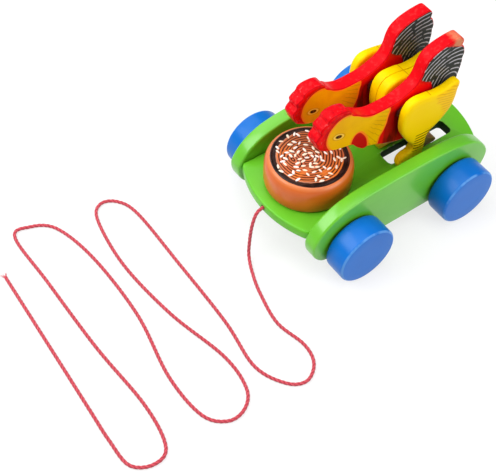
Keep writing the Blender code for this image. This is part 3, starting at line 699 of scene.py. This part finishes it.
def bevel_edges(obj, wanted, offset, segments):
    choose_edges(obj, wanted)
    bpy.ops.mesh.bevel(offset=offset, segments=segments, clamp_overlap=False)
    mode("OBJECT")


def cut_with(obj, cutter):
    """Takes the cutter's shape out of the piece and removes the cutter."""
    only(obj)
    modifier = obj.modifiers.new("cut", "BOOLEAN")
    modifier.operation = "DIFFERENCE"
    modifier.solver = "EXACT"
    modifier.object = cutter
    bpy.ops.object.modifier_apply(modifier="cut")
    bpy.data.objects.remove(cutter)


def smooth_outline(points, spacing):
    """Points along a closed outline, curved through each point but straight at a sharp one."""
    places = [Vector(point[:2]) for point in points]
    sharp = [len(point) > 2 for point in points]
    made = []
    for i, here in enumerate(places):
        before, after, beyond = (places[(i + step) % len(places)] for step in (-1, 1, 2))
        leave = (after - here) if sharp[i] else (after - before) / 2
        arrive = (after - here) if sharp[(i + 1) % len(sharp)] else (beyond - here) / 2
        length = (after - here).length
        leave *= min(1, length / max(leave.length, 1e-9))
        arrive *= min(1, length / max(arrive.length, 1e-9))
        steps = max(1, round(length / spacing))
        for step in range(steps):
            t = step / steps
            made.append(
                here * (2 * t ** 3 - 3 * t ** 2 + 1) + leave * (t ** 3 - 2 * t ** 2 + t)
                + after * (3 * t ** 2 - 2 * t ** 3) + arrive * (t ** 3 - t ** 2)
            )
    return made


def signed_distance(points, outline):
    """Each point's distance to a closed outline, negative inside it."""
    start = np.array([tuple(place) for place in outline])
    step = np.roll(start, -1, axis=0) - start
    from_start = points[:, None, :] - start[None]
    share = np.clip((from_start * step).sum(2) / (step * step).sum(1), 0, 1)
    nearest = np.linalg.norm(from_start - share[..., None] * step, axis=2).min(1)
    above = start[:, 1] > points[:, None, 1]
    crossing = above != np.roll(above, -1, axis=1)
    slope = step[:, 0] / np.where(step[:, 1] == 0, 1e-12, step[:, 1])
    right = points[:, None, 0] < start[:, 0] + slope * (points[:, None, 1] - start[:, 1])
    inside = (crossing & right).sum(1) % 2 == 1
    return np.where(inside, -nearest, nearest)


def mesh_points(obj, what="co"):
    """The places of an object's points, or their normals."""
    numbers = np.zeros(len(obj.data.vertices) * 3)
    obj.data.vertices.foreach_get(what, numbers)
    return numbers.reshape(-1, 3)


def board_places(board):
    """Across and up on a board for each of its points, in millimetres."""
    return mesh_points(board)[:, [0, 2]] * IN_MM


def keep_number(obj, name, values):
    """Stores one number for each point of the object."""
    kept = obj.data.attributes.new(name, "FLOAT", "POINT")
    kept.data.foreach_set("value", np.asarray(values, np.float32))


def keep_rim(obj, axis):
    """Stores how far each point's surface turns away from the board's flat faces, 0 to 1."""
    keep_number(obj, "rim", 1 - np.abs(mesh_points(obj, "normal")[:, axis]))


def keep_board_point(obj):
    """Stores across and up on the board as its UV map, in centimetres."""
    layer = obj.data.uv_layers.new(name="board")
    at = np.zeros(len(obj.data.loops), np.int32)
    obj.data.loops.foreach_get("vertex_index", at)
    flat = mesh_points(obj)[at][:, [0, 2]] * 100
    layer.data.foreach_set("uv", flat.astype(np.float32).ravel())


def sawn_board(name, outline, thickness, rounding, seam=None):
    """A board sawn along an outline in the XZ plane, millimetres, with its edges rounded over.

    seam, if given, is the smaller rounding of the face towards -Y.
    """
    bpy.ops.mesh.primitive_circle_add(
        vertices=len(outline), radius=0.05, fill_type="NGON", rotation=(math.pi / 2, 0, 0)
    )
    board = bpy.context.object
    call(board, name)
    settle(board)
    near = -thickness / 2
    for vertex, place in zip(board.data.vertices, outline):
        vertex.co = (place[0] / IN_MM, near, place[1] / IN_MM)
    mode("EDIT")
    select_mesh()
    bpy.ops.mesh.extrude_region_move(TRANSFORM_OT_translate={"value": (0, thickness, 0)})
    select_mesh()
    bpy.ops.mesh.normals_make_consistent(inside=False)
    mode("OBJECT")
    for face, offset in ((near, seam or rounding), (-near, rounding)):
        bevel_edges(
            board, lambda *ends: all(abs(end.y - face) < TINY for end in ends), offset, 5
        )
    return board


def cut_grid(board):
    """Cuts a board's faces into a grid, so that what is stored on its points stays fine."""
    only(board)
    places = mesh_points(board)
    mode("EDIT")
    for axis in (0, 2):
        low, high = places[:, axis].min(), places[:, axis].max()
        normal = [0, 0, 0]
        normal[axis] = 1
        for i in range(1, int((high - low) / GRID) + 1):
            cut = [0, 0, 0]
            cut[axis] = low + (i - 0.37) * GRID
            select_mesh()
            bpy.ops.mesh.bisect(plane_co=cut, plane_no=normal)
    mode("OBJECT")


def smooth(obj, degrees=40):
    only(obj)
    bpy.ops.object.shade_smooth_by_angle(angle=math.radians(degrees))


def ready_board(board):
    """Cuts a board fine, smooths it and stores its rim and the places on it."""
    cut_grid(board)
    smooth(board)
    keep_rim(board, 1)
    keep_board_point(board)


def round_bar(radius, start, end, sides=48):
    """A round cutter or bar between two points along X, Y or Z."""
    start, end = Vector(start), Vector(end)
    bpy.ops.mesh.primitive_cylinder_add(
        vertices=sides,
        radius=radius,
        depth=(end - start).length,
        location=(start + end) / 2,
        rotation=(end - start).to_track_quat("Z", "Y").to_euler(),
    )
    return bpy.context.object


def spun(name, profile):
    """A piece turned on a lathe about its own Z axis, from (radius, height) points, top first."""
    bpy.ops.mesh.primitive_circle_add(vertices=len(profile), radius=0.01)
    piece = bpy.context.object
    call(piece, name)
    for vertex, (radius, height) in zip(piece.data.vertices, profile):
        vertex.co = (radius, 0, height)
    choose_edges(piece, lambda one, other: one.x == 0 and other.x == 0)
    bpy.ops.mesh.delete(type="EDGE")
    select_mesh()
    bpy.ops.mesh.spin(steps=96, angle=2 * math.pi, axis=(0, 0, 1))
    select_mesh()
    bpy.ops.mesh.remove_doubles(threshold=TINY)
    bpy.ops.mesh.normals_make_consistent(inside=False)
    bpy.ops.mesh.select_mode(type="VERT")
    mode("OBJECT")
    return piece


def arc(centre, radii, start, end, count):
    """Points on an arc or part of an ellipse, angles in degrees."""
    (x, y), (wide, tall) = centre, radii
    angles = [math.radians(start + (end - start) * i / (count - 1)) for i in range(count)]
    return [(x + wide * math.cos(angle), y + tall * math.sin(angle)) for angle in angles]


def new_object(name, data):
    obj = bpy.data.objects.new(name, data)
    bpy.context.scene.collection.objects.link(obj)
    return obj


def copy_of(obj, name):
    made = new_object(name, obj.data.copy())
    call(made, name)
    return made


def place_camera():
    camera = bpy.data.cameras.new("camera")
    camera.lens = CAMERA_LENS
    camera.sensor_width = SENSOR_WIDTH
    camera.sensor_fit = "HORIZONTAL"
    camera.clip_start = 0.01
    camera.clip_end = 20
    holder = new_object("camera", camera)
    turn = Matrix.Rotation(math.radians(CAMERA_AZIMUTH + 90), 4, "Z")
    turn = turn @ Matrix.Rotation(math.radians(90 - CAMERA_ELEVATION), 4, "X")
    turn = turn @ Matrix.Rotation(math.radians(CAMERA_ROLL), 4, "Z")
    holder.matrix_world = Matrix.Translation(CAMERA_PLACE) @ turn
    bpy.context.scene.camera = holder


def shown_directly(paint):
    """1 for what the camera sees, straight or in a reflection."""
    rays = paint.node("LightPath")
    outputs = rays.socket.node.outputs
    seen = Signal(paint, outputs["Is Camera Ray"])
    for name in ("Is Glossy Ray", "Is Transmission Ray"):
        seen = seen.math("MAXIMUM", seen, Signal(paint, outputs[name]))
    return seen


# Lamps: direction and height in degrees, as seen from the toy, and power in watts
LAMPS = {
    "front left lamp": (-26, 45, 9.7),
    "right lamp": (110, 30, 6.7),
    "top lamp": (0, 90, 5.4),
    "back lamp": (-92, 45, 3.8),
}
LAMP_DISTANCE = 1.2
LAMP_SIZE = 0.8
LAMP_TARGET = Vector((0, 0, 0.05))
WORLD_STRENGTH = 0.27

# The floor: its size, its own greys as lit and as seen, and how much it glows where it is seen
FLOOR_SIZE = 6
FLOOR_LIT = 0.60
FLOOR_SEEN = 0.28
FLOOR_GLOW = 0.72


def build_studio():
    """A pale floor and four large soft lamps round the toy."""
    world = bpy.context.scene.world or bpy.data.worlds.new("studio")
    bpy.context.scene.world = world
    world.use_nodes = True
    background = world.node_tree.nodes["Background"]
    background.inputs["Color"].default_value = (1, 1, 1, 1)
    background.inputs["Strength"].default_value = WORLD_STRENGTH
    paint = Paint("floor", 0.9, emission_strength=FLOOR_GLOW, specular_ior_level=0)
    seen = shown_directly(paint)
    paint.set("Base Color", FLOOR_LIT - seen * (FLOOR_LIT - FLOOR_SEEN))
    paint.set("Emission Color", seen)
    bpy.ops.mesh.primitive_plane_add(size=FLOOR_SIZE)
    floor = bpy.context.object
    floor.name = "floor"
    floor.data.materials.append(paint.material)
    for name, (turn, height, watts) in LAMPS.items():
        lamp = bpy.data.lights.new(name, "AREA")
        lamp.shape = "SQUARE"
        lamp.size = LAMP_SIZE
        lamp.energy = watts
        holder = new_object(name, lamp)
        away = Euler((0, -math.radians(height), math.radians(turn))).to_matrix() @ Vector((1, 0, 0))
        place = away * LAMP_DISTANCE
        holder.location = place
        holder.rotation_euler = (place - LAMP_TARGET).to_track_quat("Z", "Y").to_euler()
    bpy.context.scene.view_settings.view_transform = "Standard"


def smooth_line(points, steps):
    """A smooth curve through the points, each stretch between two of them in equal steps."""
    route = [Vector(point) for point in points]
    route = [2 * route[0] - route[1]] + route + [2 * route[-1] - route[-2]]
    line = []
    for before, start, end, after in zip(route, route[1:], route[2:], route[3:]):
        for i in range(steps):
            t = i / steps
            bend = 2 * before - 5 * start + 4 * end - after
            twist = 3 * start - before - 3 * end + after
            line.append(0.5 * (2 * start + (end - before) * t + bend * t ** 2 + twist * t ** 3))
    line.append(route[-2])
    return line


def even_line(line, spacing):
    """The same line in even steps."""
    reached = [0]
    for first, second in zip(line, line[1:]):
        reached.append(reached[-1] + (second - first).length)
    count = round(reached[-1] / spacing)
    made = []
    at = 0
    for i in range(count + 1):
        wanted = reached[-1] * i / count
        while at < len(line) - 2 and reached[at + 1] < wanted:
            at += 1
        share = (wanted - reached[at]) / (reached[at + 1] - reached[at])
        made.append(line[at].lerp(line[at + 1], share))
    return made, reached[-1]


def tube_rings(line, sides, radius_at):
    """Rings of points round a line, turned as little as may be from one to the next."""
    side = Vector((0, 0, 1)).cross(line[1] - line[0]).normalized()
    rings = []
    for i, place in enumerate(line):
        ahead = (line[min(i + 1, len(line) - 1)] - line[max(i - 1, 0)]).normalized()
        side = (side - ahead * side.dot(ahead)).normalized()
        up = ahead.cross(side)
        ring = []
        for j in range(sides):
            angle = 2 * math.pi * j / sides
            reach = radius_at(i, angle)
            ring.append(place + (side * math.cos(angle) + up * math.sin(angle)) * reach)
        rings.append(ring)
    return rings


def tube_mesh(name, rings):
    """A closed mesh over rings of points."""
    sides = len(rings[0])
    points = [point for ring in rings for point in ring]
    faces = []
    for i in range(0, len(points) - sides, sides):
        for j in range(sides):
            k = (j + 1) % sides
            faces.append((i + j, i + k, i + sides + k, i + sides + j))
    faces.append(range(sides - 1, -1, -1))
    faces.append(range(len(points) - sides, len(points)))
    mesh = bpy.data.meshes.new(name)
    mesh.from_pydata(points, [], faces)
    return new_object(name, mesh)


def make_cord():
    """The cord as three twisted strands, frayed where it was cut."""
    route = [Vector(place) / IN_MM for place in CORD_INSIDE + CORD_ROUTE]
    line, length = even_line(smooth_line(route, 24), CORD_STEP)
    radius = CORD_DIAMETER / 2

    def lobe(i, angle):
        return abs(math.cos((angle - 2 * math.pi * i * CORD_STEP / STRAND_TURN) * CORD_STRANDS / 2))

    rings = tube_rings(line, CORD_SIDES, lambda i, angle: radius * (0.74 + 0.20 * lobe(i, angle)))
    cord = tube_mesh("pull_cord", rings)
    angles = [2 * math.pi * j / CORD_SIDES for j in range(CORD_SIDES)]
    crowns = [lobe(i, angle) for i in range(len(line)) for angle in angles]
    keep_number(cord, "crown", crowns)
    smooth(cord, 60)
    fray = make_fray(line[-1], (line[-1] - line[-4]).normalized())
    finish = cord_finish()
    dress(cord, finish, "cord")
    dress(fray, finish)


def make_fray(end, ahead):
    """Short loose fibres at the cut end of the cord."""
    dice = random.Random(5)
    fibres = []
    side = Vector((0, 0, 1)).cross(ahead).normalized()
    for _ in range(FIBRE_COUNT):
        spread = dice.uniform(-1, 1)
        lift = dice.uniform(-0.5, 0.7)
        start = end - ahead * 0.0006 + side * spread * 0.0008 + Vector((0, 0, lift * 0.0008))
        reach = dice.uniform(0.0016, 0.0036)
        line = []
        for step in range(6):
            t = step / 5
            place = start + ahead * reach * t + side * spread * 0.0016 * t * t
            place.z = max(0.0003, place.z + (lift * 0.0010 - 0.0006 * t) * t)
            line.append(place)
        rings = tube_rings(line, 5, lambda i, angle: FIBRE_RADIUS * (1 - 0.1 * i))
        fibres.append(tube_mesh("fibre", rings))
    fray = joined("cord_fray", fibres)
    smooth(fray, 60)
    keep_number(fray, "crown", [0.9] * len(fray.data.vertices))
    return fray


def thickness_of(node):
    low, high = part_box(node)
    return high.y - low.y


def head_moved(points, back, lower):
    """An outline with its points on the head moved back and down, in millimetres."""
    moved = []
    for across, up, *sharp in points:
        share = min(max((across - HEAD_START) / HEAD_BLEND, 0), 1)
        moved.append((across - back * share, up - lower * share, *sharp))
    return moved


def make_hens():
    """Both hens on their pivots. The right one's head is cut further back and lower."""
    golden = ((246, 188, 0), (234, 172, 0))
    orange = ((252, 172, 0), (238, 152, 4))
    thickness = thickness_of("hen_left")
    for word, tilt, head_shift, face_shift, eye, amber in (
        ("left", 0, (0, 0), (0, 0), LEFT_EYE, golden),
        ("right", RIGHT_HEN_TILT, RIGHT_HEAD_SHIFT, RIGHT_FACE_SHIFT, RIGHT_EYE, orange),
    ):
        outline = smooth_outline(head_moved(HEN_OUTLINE, *head_shift), 0.9)
        hen = sawn_board("hen_board_" + word, outline, thickness, HEN_ROUNDING)
        cut_with(hen, round_bar(PIN_HOLE_RADIUS, (0, -0.01, 0), (0, 0.01, 0)))
        ready_board(hen)
        face = smooth_outline(head_moved(FACE_OUTLINE, *face_shift), 0.7)
        tail = smooth_outline(TAIL_OUTLINE, 0.7)
        for name, shape in (("face", face), ("tail", tail), ("edge", outline)):
            keep_number(hen, name, signed_distance(board_places(hen), shape))
        hen.location = PIVOT["hen_" + word + "_peck"]
        hen.rotation_euler = (0, math.radians(tilt), 0)
        settle(hen)
        finish = hen_finish(word + " hen paint", eye, amber, 1 if word == "left" else 0)
        dress(hen, finish, "hen_" + word, "hen_" + word)


def leg_board(name, outline, seam):
    """One yellow board, a wing, body and leg in one, thinner towards its edge.

    A seam keeps its -Y face flat, with its smaller rounding.
    """
    thickness = thickness_of("leg_board_outer_left")
    board = sawn_board(name, outline, thickness, LEG_BOARD_ROUNDING, seam)
    ready_board(board)
    inset = signed_distance(board_places(board), outline)
    keep_number(board, "edge", inset)
    for vertex, distance in zip(board.data.vertices, inset):
        share = min(max(1 + distance / CROWN_WIDTH, 0), 1)
        if vertex.co.y > 0 or not seam:
            vertex.co.y *= 1 - CROWN_SHARE * share * share
    return board


def make_leg_boards():
    """The four yellow boards. The two inner ones touch, so their edges there stay sharper."""
    outline = smooth_outline(LEG_BOARD_OUTLINE, 0.8)
    finish = leg_board_finish()
    boards = {}
    for place, seam in (("outer", None), ("inner", LEG_BOARD_SEAM)):
        boards[place + "_left"] = leg_board(f"wing_board_{place}_left", outline, seam)
    for place in ("inner", "outer"):
        boards[place + "_right"] = copy_of(boards[place + "_left"], f"wing_board_{place}_right")
    boards["inner_right"].scale.y = -1
    settle(boards["inner_right"])
    mode("EDIT")
    select_mesh()
    bpy.ops.mesh.normals_make_consistent(inside=False)
    mode("OBJECT")
    for place, board in boards.items():
        low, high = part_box("leg_board_" + place)
        board.location = (0, (low.y + high.y) / 2, low.z)
        settle(board)
        dress(board, finish, "leg_board_" + place)


def make_rails():
    """The side rails, with the axle holes."""
    back_half = [(-x, z, *sharp) for x, z, *sharp in reversed(RAIL_OUTLINE[1:])]
    outline = smooth_outline(RAIL_OUTLINE + back_half, 1)
    finish = enamel("rail paint", GREEN, GREEN_DEEP, BEECH, 0).material
    for word in ("left", "right"):
        low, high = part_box("rail_" + word)
        rail = sawn_board("side_rail_" + word, outline, high.y - low.y, RAIL_ROUNDING)
        rail.location = (0, (low.y + high.y) / 2, AXLE_HEIGHT)
        settle(rail)
        for x in (AXLE_X, -AXLE_X):
            ends = [(x, y, AXLE_HEIGHT) for y in (low.y - PAST, high.y + PAST)]
            cut_with(rail, round_bar(AXLE_HOLE_RADIUS, *ends))
        smooth(rail)
        keep_rim(rail, 1)
        dress(rail, finish, "rail_" + word)


def make_deck():
    """The deck with rounded ends, two slots and the cord's hole."""
    half = DECK_HIGH.y
    middle = (DECK_LOW.z + DECK_HIGH.z) / 2
    sweep = math.degrees(math.asin((half - DECK_CORNER) / DECK_END_RADIUS))
    radii = (DECK_END_RADIUS, DECK_END_RADIUS)
    front = arc((DECK_HIGH.x - DECK_END_RADIUS, 0), radii, -sweep, sweep, 41)
    shoulder = front[-1][0] - DECK_CORNER
    front = [(shoulder, -half)] + front + [(shoulder, half)]
    whole = front + [(-x, -y) for x, y in front]
    outline = [Vector((x, -y)) * IN_MM for x, y in whole]
    deck = sawn_board("deck_board", outline, DECK_TOP - DECK_LOW.z, DECK_ROUNDING)
    deck.rotation_euler = (math.pi / 2, 0, 0)
    deck.location = (0, 0, middle)
    settle(deck)
    for side in (1, -1):
        bpy.ops.mesh.primitive_cube_add(
            size=1,
            location=(SLOT_MIDDLE, side * SLOT_OFF_CENTRE, middle),
            scale=(SLOT_LENGTH, SLOT_WIDTH, 0.012),
        )
        slot = bpy.context.object
        settle(slot)
        bevel_edges(slot, lambda one, other: abs(one.z - other.z) > 0.01, SLOT_ROUNDING, 8)
        cut_with(deck, slot)
    soften_slots(deck)
    height = CORD_EXIT[2]
    cut_with(deck, round_bar(CORD_HOLE_RADIUS, (0.062, 0, height), (0.08, 0, height), 32))
    ends = [(KNOT_POCKET_X, 0, z) for z in (DECK_LOW.z - PAST, KNOT_POCKET_TOP)]
    cut_with(deck, round_bar(KNOT_POCKET_RADIUS, *ends))
    smooth(deck)
    keep_rim(deck, 2)
    dress(deck, deck_finish(), "deck")


def soften_slots(deck):
    """Breaks the slots' upper edges."""
    reach = SLOT_LENGTH / 2 + 0.0002
    half = SLOT_WIDTH / 2 + 0.0002

    def on_slot(end):
        beside = abs(abs(end.y) - SLOT_OFF_CENTRE) < half
        return abs(end.z - DECK_TOP) < TINY and abs(end.x - SLOT_MIDDLE) < reach and beside

    bevel_edges(deck, lambda one, other: on_slot(one) and on_slot(other), SLOT_EDGE_ROUNDING, 2)


def make_wheels():
    """Four solid wheels, turned from one shape."""
    low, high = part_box("wheel_front_left")
    thickness = high.y - low.y
    radius = (high.z - low.z) / 2
    rim = WHEEL_ROUNDING
    bore = AXLE_HOLE_RADIUS
    profile = [(0, thickness), (radius * 0.6, thickness)]
    profile += arc((radius - rim, thickness - rim), (rim, rim), 90, 0, 8)
    profile += arc((radius - rim, rim), (rim, rim), 0, -90, 8)
    profile += [(bore + 0.0006, 0), (bore, 0.0005), (bore, WHEEL_BORE_DEPTH), (0, WHEEL_BORE_DEPTH)]
    wheel = spun("wheel", profile)
    smooth(wheel, 35)
    finish = wheel_finish()
    for place, x in (("front", AXLE_X), ("rear", -AXLE_X)):
        for side, word in ((1, "left"), (-1, "right")):
            node = f"wheel_{place}_{word}"
            low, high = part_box(node)
            made = copy_of(wheel, "blue_" + node)
            made.rotation_euler = (-side * math.pi / 2, 0, 0)
            made.location = (x, low.y if side > 0 else high.y, AXLE_HEIGHT)
            settle(made)
            dress(made, finish, node, place + "_wheelset")
    bpy.data.objects.remove(wheel)


def make_bowl():
    """The turned bowl, its printed top and the grains on it."""
    height = BOWL_HIGH.z - BOWL_LOW.z
    drop = height * 0.34
    belly = height * 0.35
    rim = 0.0236
    body = 0.0270
    recess = 0.0227
    profile = [(0, height - 0.0015), (recess, height - 0.0015), (recess, height - 0.0003)]
    profile += [(recess + 0.0003, height)]
    profile += arc((rim, height - drop), (body - rim, drop), 90, 0, 10)
    profile += arc((body - 0.0010, belly), (0.0010, belly - 0.0006), 0, -90, 8)
    profile += [(body - 0.0016, 0), (0, 0)]
    low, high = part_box("grain_disc")
    thick = high.z - low.z
    reach = 0.0225
    break_edge = 0.0003
    disc_profile = [(0, thick), (reach - break_edge, thick), (reach, thick - break_edge)]
    disc_profile += [(reach, 0), (0, 0)]
    for name, shape, foot, angle, finish, slot, node in (
        ("turned_bowl", profile, BOWL_LOW.z, 35, bowl_finish, "bowl_paint", "bowl"),
        ("printed_top", disc_profile, low.z, 30, grain_disc_finish, "grain_print", "grain_disc"),
    ):
        piece = spun(name, shape)
        piece.location = (BOWL_CENTRE.x, 0, foot)
        settle(piece)
        smooth(piece, angle)
        dress(piece, finish(), node)
    make_grains(high.z)


def make_grains(top):
    """Rice-shaped grains strewn over the printed top."""
    dice = random.Random(11)
    places = []
    while len(places) < GRAIN_COUNT:
        reach = GRAINS_REACH * dice.random() ** 0.74
        angle = dice.uniform(0, 2 * math.pi)
        spot = Vector((BOWL_CENTRE.x + reach * math.cos(angle), reach * math.sin(angle)))
        if all((spot - other).length > GRAINS_APART for other in places):
            places.append(spot)
    grains = []
    for spot in places:
        bpy.ops.mesh.primitive_uv_sphere_add(
            segments=10, ring_count=6, radius=1, location=(spot.x, spot.y, top + 0.0001)
        )
        grain = bpy.context.object
        length = dice.uniform(*GRAIN_HALF_LENGTHS)
        grain.rotation_euler = (0, 0, dice.uniform(0, math.pi))
        grain.scale = (length, length * dice.uniform(*GRAIN_WIDTH_SHARES), GRAIN_HALF_HEIGHT)
        grains.append(grain)
    heap = joined("grains", grains)
    settle(heap)
    smooth(heap, 60)
    dress(heap, seed_finish())


def finish_hidden_pieces():
    """The solids that stay as they are: axles, cams, dowels, pin, washers, screw and knot."""
    along_y = bare_wood("axle wood", BEECH, BEECH_DARK, (1, 0.06, 1))
    cam_wood = bare_wood("cam wood", (120, 88, 52), (84, 56, 30))
    finishes = {
        # the washers in the gap between hen and wing board get a very dark wood, painted shade for
        # that gap
        "pivot_washer": bare_wood("stained wood", (88, 22, 14), (52, 10, 8)),
        "cam": cam_wood,
        "pivot_pin": cam_wood,
        "foot_dowel": bare_wood("dowel wood", BEECH, BEECH_DARK, (1, 1, 0.06)),
        "bowl_screw": steel_finish(),
        "cord_knot": bpy.data.materials["cotton cord"],
    }
    for name, node in frame["nodes"].items():
        if node.hide_render:
            continue
        fitting = [finish for start, finish in finishes.items() if name.startswith(start)]
        node.data.materials.clear()
        node.data.materials.append((fitting or [along_y])[0])


place_camera()
make_cord()
build_studio()
make_hens()
make_leg_boards()
make_rails()
make_deck()
make_wheels()
make_bowl()
finish_hidden_pieces()
